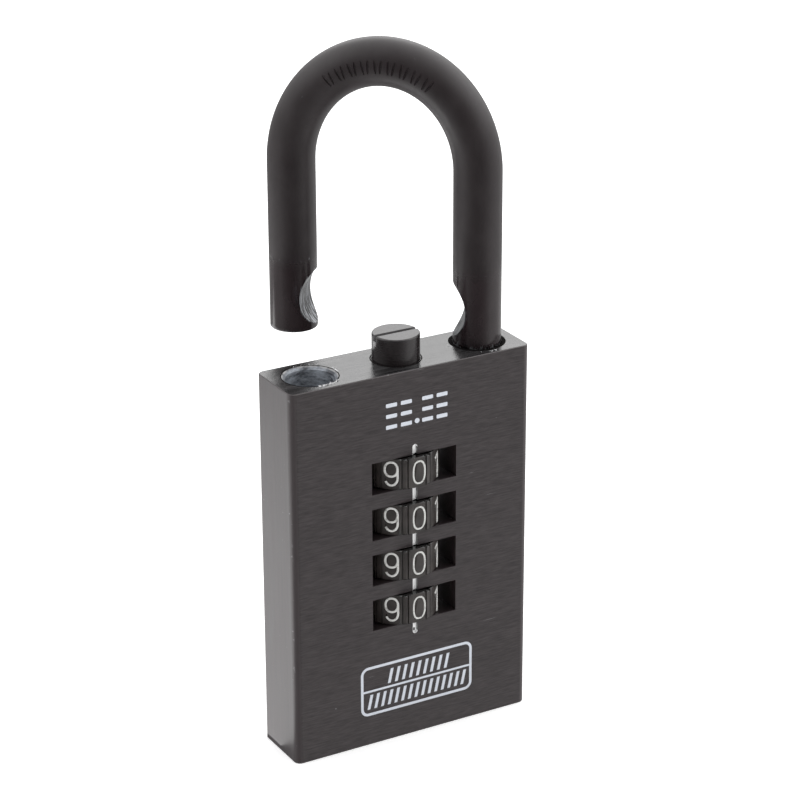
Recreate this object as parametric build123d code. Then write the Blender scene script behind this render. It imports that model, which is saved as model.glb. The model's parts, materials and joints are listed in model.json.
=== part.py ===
from build123d import *
from math import sqrt
import os

# A four-wheel combination padlock, drawn with its shackle raised and swung back.
# Millimetres. Origin: centre of the base face. +X right, +Y back, +Z up. The wheels face -Y.
# Parts round the wheels' axis are drawn round x = 0 and then moved onto it.

# Drawing aids
OVERCUT = 1.0                     # how far a cutting shape runs past what it cuts
WELD = 0.1                        # how far joined shapes run into each other
NEAR = 0.1                        # how close to a height an edge counts as being at it

# Body block
BODY_WIDTH = 50.0
BODY_DEPTH = 13.2
BODY_HEIGHT = 74.4
BODY_EDGE_RADIUS = 1.33
BODY_EDGE_BREAK = 0.15
HALF_DEPTH = BODY_DEPTH / 2

# Shackle
SHACKLE_RADIUS = 4.5
LEG_X = 17.5                      # both legs stand this far from the middle
LIFT = 13.9                       # how far the shackle drops from here to closed
SWING = 42.9                      # how far it is turned back from over the toe hole, degrees
TOE_CLEARANCE = 0.3               # between the body and the raised toe
TOE_END_Z = BODY_HEIGHT + TOE_CLEARANCE
BOW_Z = 107.1
BOW_RISE = 19.6                   # of the bow's centre line above the legs
NOTCH_Z = 81.0
NOTCH_DEPTH = 2.3
NOTCH_RADIUS = 7.2
HEEL_NOTCH_TURN = 11.7            # the heel notch is cut a little askew, degrees
FOOT_Z = (50.0, 56.7)
NECK_Z = (FOOT_Z[1], 73.2)
NECK_RADIUS = 2.4
TOE_END_ROUND = 0.3
FOOT_CHAMFER = 0.5

# Number wheels and their windows
AXIS_X = 0.25                     # the wheels and the plug stand a little off the middle
WHEEL_COUNT = 4
WHEEL_PITCH = 9.2
WHEELS_MIDDLE_Z = 40.7
WHEEL_RADIUS = 7.96
WHEEL_THICKNESS = 6.0
WHEEL_CHAMFER = 0.25
DIGITS = 10
FACET_DISTANCE = 7.7              # wheel axis to the flat that carries a digit
FACET_HALF_WIDTH = 1.77
GROOVE_WIDTH = 0.28
GROOVE_DEPTH = 0.3
WINDOW_X = (-8.6, 9.2)
WINDOW_HEIGHT = 6.3
WHEEL_Z = [WHEELS_MIDDLE_Z + WHEEL_PITCH * (WHEEL_COUNT / 2 - 0.5 - i) for i in range(WHEEL_COUNT)]

# Index groove down the front
INDEX_X = 0.45
INDEX_WIDTH = 1.05
INDEX_DEPTH = 0.5
INDEX_Z = (21.05, 59.7)

# Code sleeves, one inside each wheel
SLEEVE_RADIUS = 4.7
SLEEVE_INNER_RADIUS = 3.9
SLEEVE_END_GAP = 0.2
SLEEVE_LENGTH = WHEEL_PITCH - SLEEVE_END_GAP
SLEEVE_FIT = 0.1
SLEEVE_IN_WHEEL_FIT = 0.05
GATE_THICKNESS = 1.4
GATE_HOLE_RADIUS = 2.45
GATE_HALF_WIDTH = 1.0
KEY_HALF_WIDTH = 0.5
KEY_RADIUS = 5.35
KEY_HALF_HEIGHT = 2.5
KEY_SLOT_HALF_WIDTH = 0.65
KEY_SLOT_RADIUS = 5.5

# Spindle with its fins and the cone that pushes the latches out
TRAVEL = 5.1                      # how far the plug and the spindle press down
SPINDLE_RADIUS = 2.3
SPINDLE_BORE_RADIUS = 1.05
SPINDLE_BOTTOM_Z = 17.0
FIN_RADIUS = 3.7
FIN_HALF_WIDTH = 0.8
FIN_THICKNESS = 1.4
CONE_SHOULDER = 1.0

# Turning plug
PLUG_RADIUS = 4.45
PLUG_TOP_Z = BODY_HEIGHT + TRAVEL
PLUG_SLOT_WIDTH = 1.0
PLUG_SLOT_DEPTH = 1.1
PLUG_EDGE_ROUND = 0.3
PLUG_FIT = 0.07
STEM_RADIUS = 1.0
STEM_BOTTOM_Z = 15.4
STEM_CLIP_Z = (16.2, 16.9)
STEM_CLIP_RADII = (0.75, 2.2)
STEM_CLIP_GAP = 1.2
STEM_GROOVE_RADIUS = 0.7
WASHER_RADIUS = 4.15
WASHER_THICKNESS = 0.26
WASHER_GAP = 0.02

# Latches in the cross bore
LATCH_Z = NOTCH_Z - LIFT
LATCH_RADIUS = 3.5
LATCH_FIT = 0.05
LATCH_NOSE_X = 12.75
LATCH_NOSE_DOME = 6.5
LATCH_CAM_GAP = 0.15
LATCH_TRAVEL = PLUG_RADIUS - SPINDLE_RADIUS
CONE_SLOPE = LATCH_TRAVEL / TRAVEL

# Bores in the body
LEG_BORE_RADIUS = 4.6
TOE_BORE_BOTTOM_Z = 60.0
TOE_MOUTH_RADIUS = 5.2
HEEL_BORE_BOTTOM_Z = 22.0
HEEL_MOUTH_RADIUS = 4.95
MAIN_BORE_RADIUS = SLEEVE_RADIUS + SLEEVE_FIT
MAIN_BORE_TOP_Z = 60.5
PIN_RADIUS = 1.0
PIN_X = 21.4
PIN_GAP = 0.3                     # between the pin and the raised foot
PIN_Z = FOOT_Z[1] + PIN_GAP + PIN_RADIUS
PIN_FRONT_Y = -4.4

# Closures and rings in the bores
BASE_PLUG_TOP_Z = 6.0
BASE_PLUG_HEAD_RADIUS = 5.9
BASE_PLUG_HEAD_HEIGHT = 1.2
BASE_PLUG_FIT = 0.03
SPANNER_HOLE_RADIUS = 0.6
SPANNER_HOLE_DEPTH = 0.8
SPANNER_HOLE_X = 3.2
BUSH_RADIUS = 4.77
TOP_BUSH_Z = (59.1, 60.4)
BOTTOM_BUSH_Z = (20.5, 22.3)
SNAP_RING_Z = (19.4, 20.4)
SNAP_RING_RADII = (4.0, 5.3)
SNAP_RING_GAP = 3.0
SNAP_GROOVE_CLEARANCE = 0.08
STOP_RING_Z = (19.35, 20.35)
STOP_RING_RADII = (1.95, 3.4)
STOP_RING_GAP = 2.0
RING_GROOVE_CLEARANCE = 0.05
CROSS_PLUG_X = (22.6, BODY_WIDTH / 2)

# Springs
SPINDLE_SEAT_Z = (18.3, 19.25)
SPINDLE_SEAT_RADII = (2.35, 3.8)
SPINDLE_COIL = {"coil_radius": 3.2, "wire_radius": 0.4, "turns": 7}
SHACKLE_SEAT_Z = (48.7, 49.9)
SHACKLE_SEAT_RADIUS = 4.4
SHACKLE_SEAT_SPIGOT = (2.6, 46.0)  # radius and lowest height
SHACKLE_COIL = {"coil_radius": 3.7, "wire_radius": 0.45, "turns": 10}
SPRING_END_GAP = 0.1

# Detent leaf that clicks against the wheels
DETENT_BORE_X = -9.6
DETENT_BORE_RADIUS = 1.5
DETENT_BORE_TOP_Z = 59.5
DETENT_HALF_WIDTH = 0.95
DETENT_THICKNESS = 0.25
DETENT_BACK_X = -10.45
DETENT_TIP_X = -7.85
DETENT_BUMP_HALF_BASE = 2.2
DETENT_BUMP_HALF_TOP = 0.5
DETENT_END_GAP = 1.0
DETENT_PLUG_TOP_Z = 5.0
DETENT_PLUG_FIT = 0.03

SEAT_BOTTOM = (Align.CENTER, Align.CENTER, Align.MIN)


def rod(radius, low, high, x=0.0, y=0.0):
    """Upright round bar between two heights."""
    return Pos(x, y, low) * Cylinder(radius, high - low, align=SEAT_BOTTOM)


def cross_rod(radius, left, right, z):
    """Round bar along X between two places."""
    return Pos(left, 0, z) * Rot(0, 90, 0) * Cylinder(radius, right - left, align=SEAT_BOTTOM)


def depth_rod(radius, front, back, x, z):
    """Round bar along Y between two places."""
    return Pos(x, back, z) * Rot(90, 0, 0) * Cylinder(radius, back - front, align=SEAT_BOTTOM)


def block(x_range, y_range, z_range):
    """Box between two corners."""
    low = [min(pair) for pair in (x_range, y_range, z_range)]
    high = [max(pair) for pair in (x_range, y_range, z_range)]
    sizes = [b - a for a, b in zip(low, high)]
    return Pos(*low) * Box(*sizes, align=(Align.MIN, Align.MIN, Align.MIN))


def around(half_width):
    """Range that is centred on zero."""
    return (-half_width, half_width)


def countersink(radius, mouth_radius, top, x):
    """Small cone that opens a bore at its mouth, at 45 degrees."""
    depth = mouth_radius - radius
    cone = Cone(radius, mouth_radius + depth, 2 * depth, align=SEAT_BOTTOM)
    return Pos(x, 0, top - depth) * cone


def ring(radii, z_range, x=0.0, y=0.0):
    """Flat ring between two radii and two heights."""
    inner, outer = radii
    low, high = z_range
    return rod(outer, low, high, x, y) - rod(inner, low - OVERCUT, high + OVERCUT, x, y)


def split_ring(radii, z_range, gap):
    """Ring with an opening towards -Y, such as a retaining clip."""
    tall = (z_range[0] - OVERCUT, z_range[1] + OVERCUT)
    opening = block(around(gap / 2), (-radii[1] - OVERCUT, 0), tall)
    return ring(radii, z_range) - opening


def coil(coil_radius, wire_radius, turns, low, high, x=0.0):
    """Round-wire compression spring that stands between two heights."""
    start = low + wire_radius + SPRING_END_GAP
    height = high - low - 2 * (wire_radius + SPRING_END_GAP)
    path = Pos(x, 0, start) * Helix(height / turns, height, coil_radius)
    section = Plane(origin=path @ 0, z_dir=path % 0) * Circle(wire_radius)
    return sweep(section, path=path, is_frenet=True)


def on_axis(shape):
    """Moves a shape drawn round the middle onto the axis of the wheels."""
    return Pos(AXIS_X, 0, 0) * shape


def gate_slot(z_range, reach):
    """Slot beside the spindle, through which its fins pass."""
    return block((0, reach), around(GATE_HALF_WIDTH), z_range)


def plain_block():
    """Body block with rounded upright edges and broken top and bottom edges."""
    body = Box(BODY_WIDTH, BODY_DEPTH, BODY_HEIGHT, align=SEAT_BOTTOM)
    body = fillet(body.edges().filter_by(Axis.Z), BODY_EDGE_RADIUS)
    rims = body.edges().group_by(Axis.Z)
    return chamfer(rims[0] + rims[-1], BODY_EDGE_BREAK)


def window_cuts():
    """Four windows through the body, front to back."""
    half_height = WINDOW_HEIGHT / 2
    for z in WHEEL_Z:
        yield block(WINDOW_X, around(BODY_DEPTH), (z - half_height, z + half_height))


def leg_bores():
    """Blind toe hole and deep heel hole, each with a broken mouth."""
    yield rod(LEG_BORE_RADIUS, TOE_BORE_BOTTOM_Z, BODY_HEIGHT + OVERCUT, x=-LEG_X)
    yield countersink(LEG_BORE_RADIUS, TOE_MOUTH_RADIUS, BODY_HEIGHT, -LEG_X)
    yield rod(LEG_BORE_RADIUS, HEEL_BORE_BOTTOM_Z, BODY_HEIGHT + OVERCUT, x=LEG_X)
    yield countersink(LEG_BORE_RADIUS, HEEL_MOUTH_RADIUS, BODY_HEIGHT, LEG_X)


def spindle_bores():
    """Stepped bore for the sleeves, the bushes, the rings and the plug."""
    bores = rod(MAIN_BORE_RADIUS, -OVERCUT, MAIN_BORE_TOP_Z)
    bores += rod(PLUG_RADIUS + PLUG_FIT, MAIN_BORE_TOP_Z - OVERCUT, BODY_HEIGHT + OVERCUT)
    bores += rod(BASE_PLUG_HEAD_RADIUS + BASE_PLUG_FIT, -OVERCUT, BASE_PLUG_HEAD_HEIGHT)
    bores += rod(SNAP_RING_RADII[1] + SNAP_GROOVE_CLEARANCE,
                 SNAP_RING_Z[0] - SNAP_GROOVE_CLEARANCE, SNAP_RING_Z[1] + SNAP_GROOVE_CLEARANCE)
    bores += block(around(KEY_SLOT_HALF_WIDTH), (0, KEY_SLOT_RADIUS), (0, WHEEL_Z[0]))
    yield on_axis(bores)


def side_bores():
    """Cross bore for the latches, hole for the retaining pin and bore for the detent leaf."""
    yield cross_rod(LATCH_RADIUS + LATCH_FIT, -LEG_X, BODY_WIDTH, LATCH_Z)
    yield depth_rod(PIN_RADIUS, PIN_FRONT_Y, BODY_DEPTH, PIN_X, PIN_Z)
    yield rod(DETENT_BORE_RADIUS, -OVERCUT, DETENT_BORE_TOP_Z, x=DETENT_BORE_X)


def index_groove():
    """Shallow groove with round ends that marks the reading line."""
    half = INDEX_WIDTH / 2
    low, high = INDEX_Z[0] + half, INDEX_Z[1] - half
    floor = -HALF_DEPTH + INDEX_DEPTH
    yield block((INDEX_X - half, INDEX_X + half), (-BODY_DEPTH, floor), (low, high))
    for z in (low, high):
        yield depth_rod(half, -BODY_DEPTH, floor, INDEX_X, z)


def make_lock_body():
    body = plain_block()
    for cuts in (window_cuts(), leg_bores(), spindle_bores(), side_bores(), index_groove()):
        for cut in cuts:
            body -= cut
    return body


def notch(side):
    """Round scoop on the inner face of one leg."""
    middle = LEG_X - SHACKLE_RADIUS + NOTCH_DEPTH - NOTCH_RADIUS
    reach = SHACKLE_RADIUS + OVERCUT
    return depth_rod(NOTCH_RADIUS, -reach, reach, side * middle, NOTCH_Z)


def turned_on_heel(shape, angle):
    """Turns a shape about the axis of the heel leg, in degrees."""
    return Pos(LEG_X, 0, 0) * Rot(0, 0, angle) * Pos(-LEG_X, 0, 0) * shape


def rim(bar, z):
    """Round edge at a height."""
    return bar.edges().filter_by(GeomType.CIRCLE).filter_by_position(Axis.Z, z - NEAR, z + NEAR)


def make_shackle():
    """Bent bar with a short toe leg, and a long heel leg that is necked for its retaining pin."""
    toe_end, toe_top = Vector(-LEG_X, 0, TOE_END_Z), Vector(-LEG_X, 0, BOW_Z)
    heel_end, heel_top = Vector(LEG_X, 0, FOOT_Z[0]), Vector(LEG_X, 0, BOW_Z)
    bow = Plane.XZ * EllipticalCenterArc((0, BOW_Z), LEG_X, BOW_RISE, 180, arc_size=-180)
    path = Wire([Edge.make_line(toe_end, toe_top), bow.edge(), Edge.make_line(heel_top, heel_end)])
    section = Plane(origin=toe_end, z_dir=(0, 0, 1)) * Circle(SHACKLE_RADIUS)
    bar = sweep(section, path=path)
    bar = fillet(rim(bar, TOE_END_Z), TOE_END_ROUND)
    bar = chamfer(rim(bar, FOOT_Z[0]), FOOT_CHAMFER)
    bar -= ring((NECK_RADIUS, SHACKLE_RADIUS + OVERCUT), NECK_Z, x=LEG_X)
    shackle = bar - notch(-1) - turned_on_heel(notch(1), HEEL_NOTCH_TURN)
    return turned_on_heel(shackle, -SWING)


def make_shackle_spring_seat():
    """Washer with a spigot, pushed up against the foot of the heel leg."""
    spigot_radius, spigot_bottom = SHACKLE_SEAT_SPIGOT
    seat = rod(SHACKLE_SEAT_RADIUS, *SHACKLE_SEAT_Z, x=LEG_X)
    return seat + rod(spigot_radius, spigot_bottom, SHACKLE_SEAT_Z[0], x=LEG_X)


def make_number_wheel(z):
    """Ten flats for the digits, with a ridge between two narrow grooves at each corner."""
    half_height = WHEEL_THICKNESS / 2
    z_range = (z - half_height, z + half_height)
    wheel = rod(WHEEL_RADIUS, *z_range)
    wheel = chamfer(wheel.edges().filter_by(GeomType.CIRCLE), WHEEL_CHAMFER)
    outside = -WHEEL_RADIUS - OVERCUT
    bottom = FACET_DISTANCE - GROOVE_DEPTH
    tall = (z - WHEEL_THICKNESS, z + WHEEL_THICKNESS)
    flat = block(around(FACET_HALF_WIDTH), (outside, -FACET_DISTANCE), tall)
    for side in (-1, 1):
        edges = (side * FACET_HALF_WIDTH, side * (FACET_HALF_WIDTH + GROOVE_WIDTH))
        flat += block(edges, (outside, -bottom), tall)
    key_slot = block(around(KEY_SLOT_HALF_WIDTH), (0, KEY_SLOT_RADIUS), tall)
    for i in range(DIGITS):
        turn = Rot(0, 0, 360 / DIGITS * i)
        wheel -= turn * flat
        wheel -= turn * key_slot
    return wheel - rod(SLEEVE_RADIUS + SLEEVE_IN_WHEEL_FIT, *tall)


def make_code_sleeve(z):
    """Sleeve with a key for its wheel and a gate disc across its middle."""
    half_gate = GATE_THICKNESS / 2
    gate_z = (z - half_gate, z + half_gate)
    sleeve = ring((SLEEVE_INNER_RADIUS, SLEEVE_RADIUS), (z - SLEEVE_LENGTH / 2, z + SLEEVE_LENGTH / 2))
    disc = rod(SLEEVE_INNER_RADIUS + WELD, *gate_z) - rod(GATE_HOLE_RADIUS, *gate_z)
    disc -= gate_slot(gate_z, SLEEVE_INNER_RADIUS)
    key_y = (SLEEVE_RADIUS - WELD, KEY_RADIUS)
    key = block(around(KEY_HALF_WIDTH), key_y, (z - KEY_HALF_HEIGHT, z + KEY_HALF_HEIGHT))
    return sleeve + disc + key


def make_spindle():
    """Hollow spindle with one fin for each gate and the cone under the plug."""
    cone_top = LATCH_Z + TRAVEL
    spindle = rod(SPINDLE_RADIUS, SPINDLE_BOTTOM_Z, LATCH_Z)
    spindle += Pos(0, 0, LATCH_Z) * Cone(SPINDLE_RADIUS, PLUG_RADIUS, TRAVEL, align=SEAT_BOTTOM)
    spindle += rod(PLUG_RADIUS, cone_top, cone_top + CONE_SHOULDER)
    for z in WHEEL_Z:
        middle = z + TRAVEL / 2
        fin_z = (middle - FIN_THICKNESS / 2, middle + FIN_THICKNESS / 2)
        spindle += block((SPINDLE_RADIUS / 2, FIN_RADIUS), around(FIN_HALF_WIDTH), fin_z)
    groove_z = (STOP_RING_Z[0] - RING_GROOVE_CLEARANCE, STOP_RING_Z[1] + RING_GROOVE_CLEARANCE)
    groove_radius = STOP_RING_RADII[0] - RING_GROOVE_CLEARANCE
    spindle -= ring((groove_radius, SPINDLE_RADIUS + OVERCUT), groove_z)
    return spindle - rod(SPINDLE_BORE_RADIUS, SPINDLE_BOTTOM_Z - OVERCUT, BODY_HEIGHT)


def plug_bottom_z():
    return LATCH_Z + TRAVEL + CONE_SHOULDER + WASHER_THICKNESS + 2 * WASHER_GAP


def make_plug():
    """Slotted head on a long stem that runs down through the spindle."""
    head = rod(PLUG_RADIUS, plug_bottom_z(), PLUG_TOP_Z)
    head = fillet(head.edges().group_by(Axis.Z)[-1], PLUG_EDGE_ROUND)
    slot_z = (PLUG_TOP_Z - PLUG_SLOT_DEPTH, PLUG_TOP_Z + OVERCUT)
    head -= block(around(PLUG_RADIUS + OVERCUT), around(PLUG_SLOT_WIDTH / 2), slot_z)
    stem = rod(STEM_RADIUS, STEM_BOTTOM_Z, plug_bottom_z())
    clip_groove = (STEM_CLIP_Z[0] - RING_GROOVE_CLEARANCE, STEM_CLIP_Z[1] + RING_GROOVE_CLEARANCE)
    stem -= ring((STEM_GROOVE_RADIUS, STEM_RADIUS + OVERCUT), clip_groove)
    return head + stem


def make_plug_washer():
    low = LATCH_Z + TRAVEL + CONE_SHOULDER + WASHER_GAP
    return ring((SPINDLE_BORE_RADIUS, WASHER_RADIUS), (low, low + WASHER_THICKNESS))


def make_latch(side):
    """Round bolt with a domed nose, and an inner end sloped to match the cone."""
    dome_centre = LATCH_NOSE_X - LATCH_NOSE_DOME
    shoulder = dome_centre + sqrt(LATCH_NOSE_DOME ** 2 - LATCH_RADIUS ** 2)
    dome = RadiusArc((LATCH_NOSE_X, 0), (shoulder, LATCH_RADIUS), -LATCH_NOSE_DOME)
    sides = Polyline((shoulder, LATCH_RADIUS), (0, LATCH_RADIUS), (0, 0), (LATCH_NOSE_X, 0))
    bolt = revolve(make_face(Wire([dome.edge(), *sides.edges()])), Axis.X)
    inner_x = SPINDLE_RADIUS + LATCH_CAM_GAP + side * AXIS_X
    tall = 2 * LATCH_RADIUS
    outline = Polyline((-OVERCUT, -tall), (inner_x, -tall), (inner_x, 0),
                       (inner_x + tall * CONE_SLOPE, tall), (-OVERCUT, tall), close=True)
    latch = bolt - extrude(Plane.XZ * make_face(outline), amount=tall, both=True)
    if side < 0:
        latch = mirror(latch, about=Plane.YZ)
    return Pos(0, 0, LATCH_Z) * latch


def make_bush(z_range):
    """Guide bush for the spindle, slotted so that the fins can be fed through it."""
    bush = ring((GATE_HOLE_RADIUS, BUSH_RADIUS), z_range)
    return bush - gate_slot(z_range, SLEEVE_INNER_RADIUS)


def make_base_plug():
    """Plug that closes the main bore flush with the base, with two spanner holes."""
    plug = rod(MAIN_BORE_RADIUS - BASE_PLUG_FIT, 0, BASE_PLUG_TOP_Z)
    plug += rod(BASE_PLUG_HEAD_RADIUS, 0, BASE_PLUG_HEAD_HEIGHT)
    for x in around(SPANNER_HOLE_X):
        plug -= rod(SPANNER_HOLE_RADIUS, -OVERCUT, SPANNER_HOLE_DEPTH, x=x)
    return plug


def make_detent_leaf():
    """Spring strip with one bump that reaches each wheel's corners."""
    edge = [(DETENT_BACK_X, DETENT_PLUG_TOP_Z + DETENT_END_GAP)]
    for z in reversed(WHEEL_Z):
        edge += [(DETENT_BACK_X, z - DETENT_BUMP_HALF_BASE), (DETENT_TIP_X, z - DETENT_BUMP_HALF_TOP)]
        edge += [(DETENT_TIP_X, z + DETENT_BUMP_HALF_TOP), (DETENT_BACK_X, z + DETENT_BUMP_HALF_BASE)]
    edge.append((DETENT_BACK_X, DETENT_BORE_TOP_Z - DETENT_END_GAP))
    back = [(x - DETENT_THICKNESS, z) for x, z in reversed(edge)]
    profile = Plane.XZ * make_face(Polyline(*edge, *back, close=True))
    return extrude(profile, amount=DETENT_HALF_WIDTH, both=True)


def static_parts():
    """Everything that stays fixed in the body."""
    return {
        "lock_body": make_lock_body(),
        "base_plug": on_axis(make_base_plug()),
        "cross_bore_plug": cross_rod(LATCH_RADIUS, *CROSS_PLUG_X, LATCH_Z),
        "shackle_retaining_pin": depth_rod(PIN_RADIUS, PIN_FRONT_Y, HALF_DEPTH, PIN_X, PIN_Z),
        "top_guide_bush": on_axis(make_bush(TOP_BUSH_Z)),
        "bottom_guide_bush": on_axis(make_bush(BOTTOM_BUSH_Z)),
        "bore_snap_ring": on_axis(split_ring(SNAP_RING_RADII, SNAP_RING_Z, SNAP_RING_GAP)),
        "detent_leaf": make_detent_leaf(),
        "detent_bore_plug": rod(DETENT_BORE_RADIUS - DETENT_PLUG_FIT, 0, DETENT_PLUG_TOP_Z,
                                x=DETENT_BORE_X),
        "spindle_spring": coil(**SPINDLE_COIL, low=BASE_PLUG_TOP_Z, high=SPINDLE_SEAT_Z[0],
                               x=AXIS_X),
        "shackle_spring": coil(**SHACKLE_COIL, low=HEEL_BORE_BOTTOM_Z, high=SHACKLE_SEAT_Z[0],
                               x=LEG_X),
    }


def moving_parts():
    """Everything that slides or turns."""
    parts = {
        "shackle": make_shackle(),
        "shackle_spring_seat": make_shackle_spring_seat(),
        "spindle": on_axis(make_spindle()),
        "spindle_stop_ring": on_axis(split_ring(STOP_RING_RADII, STOP_RING_Z, STOP_RING_GAP)),
        "spindle_spring_seat": on_axis(ring(SPINDLE_SEAT_RADII, SPINDLE_SEAT_Z)),
        "plug": on_axis(make_plug()),
        "plug_washer": on_axis(make_plug_washer()),
        "plug_stem_clip": on_axis(split_ring(STEM_CLIP_RADII, STEM_CLIP_Z, STEM_CLIP_GAP)),
        "toe_latch": make_latch(-1),
        "heel_latch": make_latch(1),
    }
    for i, z in enumerate(WHEEL_Z, start=1):
        parts[f"number_wheel_{i}"] = on_axis(make_number_wheel(z))
        parts[f"code_sleeve_{i}"] = on_axis(make_code_sleeve(z))
    return parts


def main():
    os.makedirs("parts", exist_ok=True)
    for name, shape in {**static_parts(), **moving_parts()}.items():
        export_step(shape, f"parts/{name}.step")


main()
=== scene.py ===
import json
import random
from math import atan2, cos, hypot, pi, radians, sin

import bmesh
import bpy
from mathutils import Matrix, Vector, noise


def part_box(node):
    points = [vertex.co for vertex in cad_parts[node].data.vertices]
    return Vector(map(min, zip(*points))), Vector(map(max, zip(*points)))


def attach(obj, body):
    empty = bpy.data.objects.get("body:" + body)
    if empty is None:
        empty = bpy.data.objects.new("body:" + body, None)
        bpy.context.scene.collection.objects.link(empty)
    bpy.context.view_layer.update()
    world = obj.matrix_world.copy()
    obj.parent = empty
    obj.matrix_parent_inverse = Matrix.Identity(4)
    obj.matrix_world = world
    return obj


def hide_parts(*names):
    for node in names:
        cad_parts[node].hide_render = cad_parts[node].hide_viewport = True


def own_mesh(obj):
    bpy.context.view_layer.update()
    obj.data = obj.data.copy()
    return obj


# A four-wheel combination padlock, its shackle raised and swung back. Metres, in the frame of the CAD model.

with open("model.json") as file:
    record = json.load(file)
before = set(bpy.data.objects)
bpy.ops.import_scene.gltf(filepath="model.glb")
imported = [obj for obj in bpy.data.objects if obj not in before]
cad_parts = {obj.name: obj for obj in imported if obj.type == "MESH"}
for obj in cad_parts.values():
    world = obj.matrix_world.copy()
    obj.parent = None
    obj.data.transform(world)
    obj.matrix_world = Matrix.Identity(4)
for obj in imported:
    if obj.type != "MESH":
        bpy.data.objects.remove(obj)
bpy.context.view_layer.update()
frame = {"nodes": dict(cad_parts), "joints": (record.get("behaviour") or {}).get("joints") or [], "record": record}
nodes = frame["nodes"]
joint_of = {j["name"]: j for j in frame["joints"]}
mount_of = {m["name"]: m for m in frame["record"]["mounts"]}

MM = 0.001
UP = Vector((0, 0, 1))


def foot_of(entry):
    """Where the upright axis of a joint or mount meets the base plane."""
    x, y, _ = entry["pos_m"]
    return Vector((x, y, 0))


# Places taken from the CAD model
BODY_LOW, BODY_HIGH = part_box("lock_body")
FRONT_Y = BODY_LOW.y
BODY_TOP = BODY_HIGH.z
PLUG_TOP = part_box("plug")[1].z
BAR_RADIUS = mount_of["shackle_leg"]["dims"]["r_mm"] * MM
HEEL = foot_of(joint_of["shackle_swing"])
TOE = foot_of(mount_of["shackle_leg"])
PLUG = foot_of(joint_of["plug_turn"])
TOE_HOLE = Vector((-HEEL.x, 0, 0))
WHEEL_PLACES = [Vector(joint_of[f"wheel_{i}_turn"]["pos_m"]) for i in range(1, 5)]
WHEEL_HEIGHTS = sorted(place.z for place in WHEEL_PLACES)


# ---------------------------------------------------------------- node helpers

def connect(tree, value, socket):
    """Links an output to a socket, or sets the socket to a constant."""
    if isinstance(value, bpy.types.NodeSocket):
        tree.links.new(value, socket)
    else:
        socket.default_value = value


def add_node(tree, kind, inputs=None, **settings):
    """Adds a shader node, sets its properties, and fills or links its inputs."""
    made = tree.nodes.new("ShaderNode" + kind)
    for key, value in settings.items():
        setattr(made, key, value)
    for key, value in (inputs or {}).items():
        connect(tree, value, made.inputs[key])
    return made


# ---------------------------------------------------------------- stage

CAMERA_TARGET = Vector((0.00082, -0.00047, 0.06613))
CAMERA_DISTANCE = 0.51776
CAMERA_YAW = radians(29.67)
CAMERA_PITCH = radians(22.32)
CAMERA_ROLL = radians(-0.21)
CAMERA_LENS = 126.98


def make_camera():
    """Camera to the left of the front, looking slightly down."""
    right = Vector((cos(CAMERA_YAW), -sin(CAMERA_YAW), 0))
    level_ahead = Vector((sin(CAMERA_YAW), cos(CAMERA_YAW), 0))
    ahead = level_ahead * cos(CAMERA_PITCH) - UP * sin(CAMERA_PITCH)
    above = right.cross(ahead)
    tilted_right = right * cos(CAMERA_ROLL) + above * sin(CAMERA_ROLL)
    tilted_up = above * cos(CAMERA_ROLL) - right * sin(CAMERA_ROLL)
    turn = Matrix((tilted_right, tilted_up, -ahead)).transposed().to_4x4()
    data = bpy.data.cameras.new("camera")
    data.lens = CAMERA_LENS
    data.sensor_width = 36
    data.clip_start = 0.01
    data.clip_end = 10
    camera = bpy.data.objects.new("camera", data)
    camera.matrix_world = Matrix.Translation(CAMERA_TARGET - ahead * CAMERA_DISTANCE) @ turn
    bpy.context.scene.collection.objects.link(camera)
    bpy.context.scene.camera = camera


def soft_light(name, place, aim, size, power):
    """Rectangular soft box that faces a point."""
    data = bpy.data.lights.new(name, "AREA")
    data.shape = "RECTANGLE"
    data.size, data.size_y = size
    data.energy = power
    light = bpy.data.objects.new(name, data)
    light.location = place
    light.rotation_mode = "QUATERNION"
    light.rotation_quaternion = (Vector(aim) - Vector(place)).to_track_quat("-Z", "Y")
    light.visible_camera = False
    bpy.context.scene.collection.objects.link(light)


def make_surroundings():
    """A pale room: grey below the horizon, bright overhead and on the right, dark in front on the left."""
    world = bpy.data.worlds.new("surroundings")
    world.use_nodes = True
    tree = world.node_tree

    def ramp(along, low, high, to_low, to_high):
        """Value that changes along a direction."""
        inputs = {0: direction, 1: along}
        value = add_node(tree, "VectorMath", inputs, operation="DOT_PRODUCT").outputs["Value"]
        inputs = {"Value": value, "From Min": low, "From Max": high, "To Min": to_low, "To Max": to_high}
        return add_node(tree, "MapRange", inputs).outputs[0]

    direction = add_node(tree, "TexCoord").outputs["Generated"]
    strength = ramp((0, 0, 1), -0.1, 0.6, 0.45, 1.38)
    front_left = ramp((-0.5, -0.87, 0), 0.45, 0.95, 1, 0.3)
    right = ramp((0.87, -0.5, 0), -0.2, 0.7, 1, 1.7)
    above_front = ramp((-0.3, -0.8, 0.5), 0.2, 0.8, 1, 0.5)
    left = ramp((-0.94, 0.34, 0), 0.1, 0.9, 1, 1.12)
    for factor in (front_left, right, above_front, left):
        strength = add_node(tree, "Math", {0: strength, 1: factor}, operation="MULTIPLY").outputs[0]
    tree.links.new(strength, tree.nodes["Background"].inputs["Strength"])
    tree.nodes["Background"].inputs["Color"].default_value = (1, 1, 1, 1)
    bpy.context.scene.world = world
    bpy.context.scene.view_settings.view_transform = "Standard"


def make_lights():
    """A soft box above and behind, and a low glow on the table behind on the left."""
    soft_light("back_light", (0.37, 0.75, 0.5), (0, 0, BODY_TOP), (0.6, 0.6), 1.08)
    soft_light("table_glow", (-0.09, 0.1, 0.001), (-0.09, 0.1, 1), (0.13, 0.2), 0.135)


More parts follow.
